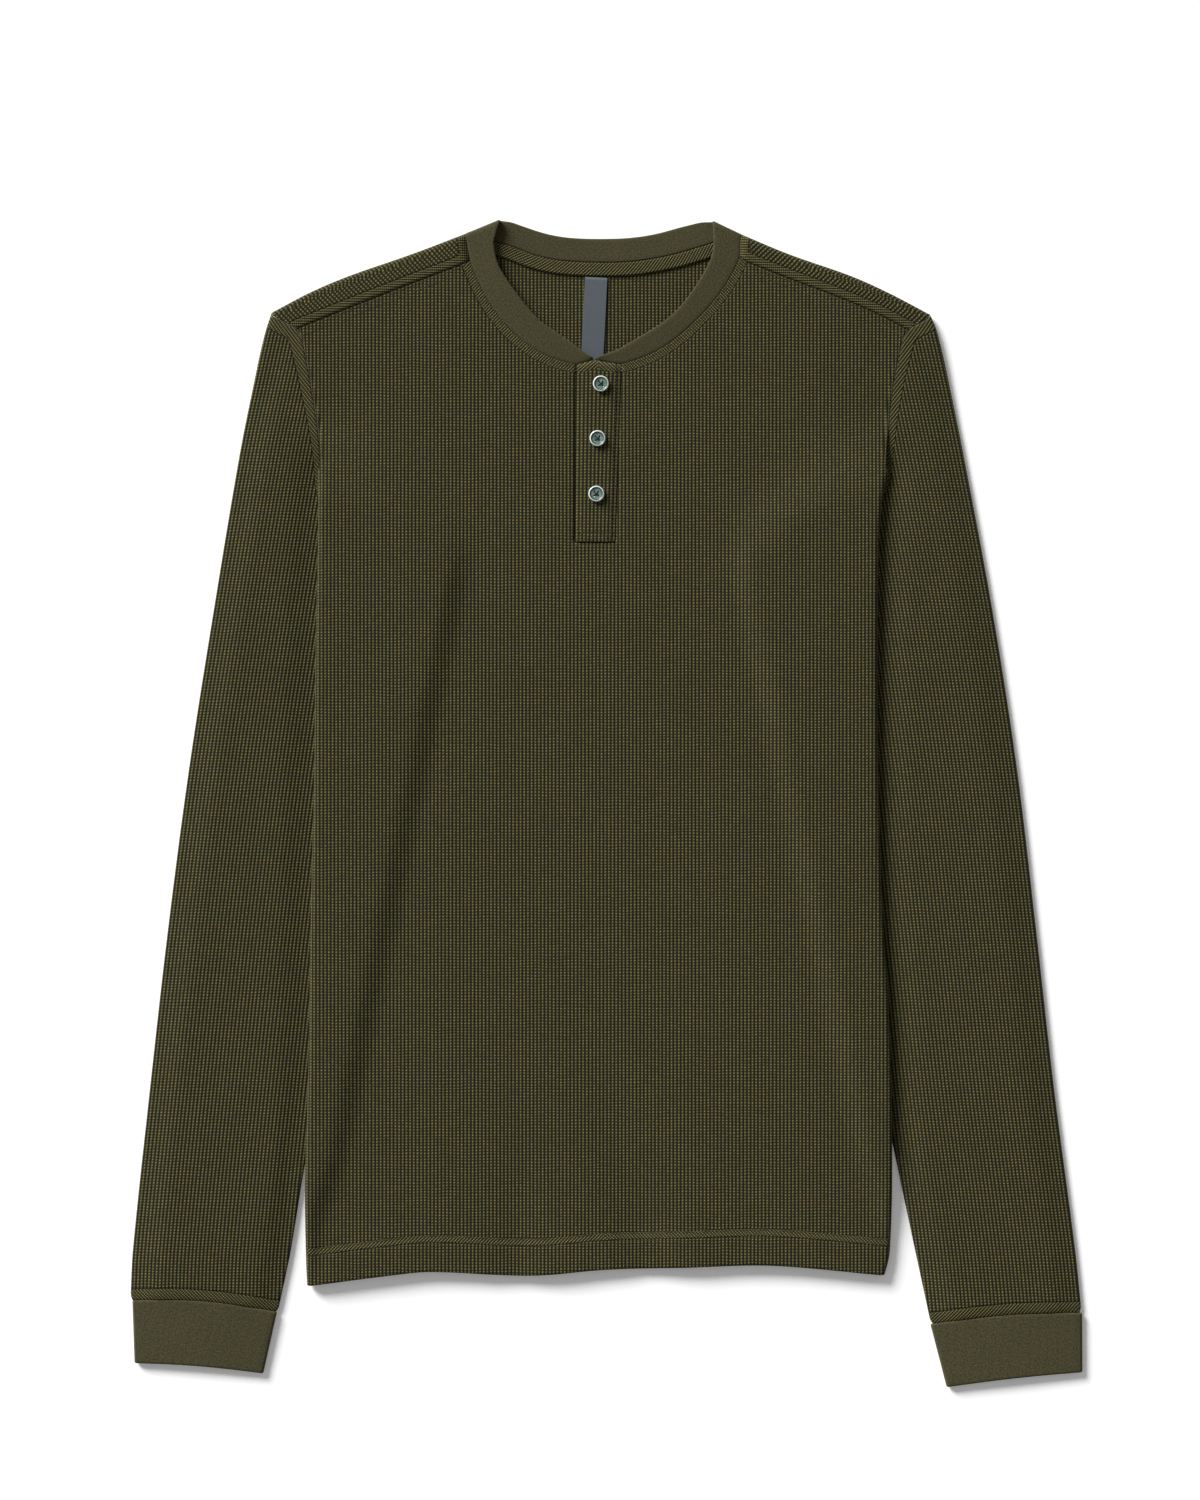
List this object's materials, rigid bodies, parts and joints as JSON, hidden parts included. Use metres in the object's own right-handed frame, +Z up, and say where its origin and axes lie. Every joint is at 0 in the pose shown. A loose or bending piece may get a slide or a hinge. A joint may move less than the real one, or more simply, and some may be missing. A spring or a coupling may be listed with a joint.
{
  "type": "henley shirt",
  "caption": "Long-sleeved waffle-knit henley shirt with a smooth banded neck and cuffs and a buttoned placket, laid flat with its sides turned under",
  "frame": {"origin": "centre of the outline, on the surface that the shirt lies on", "axes": "+X to the right seen from above, which is the wearer's left; +Y towards the collar; +Z up out of the surface"},
  "size_m": [0.6339, 0.7772, 0.0098],
  "materials": {
    "waffle_knit": "matte olive waffle knit",
    "smooth_band": "matte olive fine jersey",
    "woven_label": "matte grey woven tape",
    "button": "polished grey-green with a pale rim"
  },
  "bodies": {
    "root": {"front_panel": "waffle_knit", "back_panel": "waffle_knit", "sleeve_left": "waffle_knit", "sleeve_right": "waffle_knit", "placket_outer": "waffle_knit", "placket_under": "waffle_knit", "neck_tape": "waffle_knit", "collar": "smooth_band", "cuff_left": "smooth_band", "cuff_right": "smooth_band", "neck_label": "woven_label", "button_top": "button", "button_middle": "button", "button_bottom": "button"}
  },
  "joints": []
}
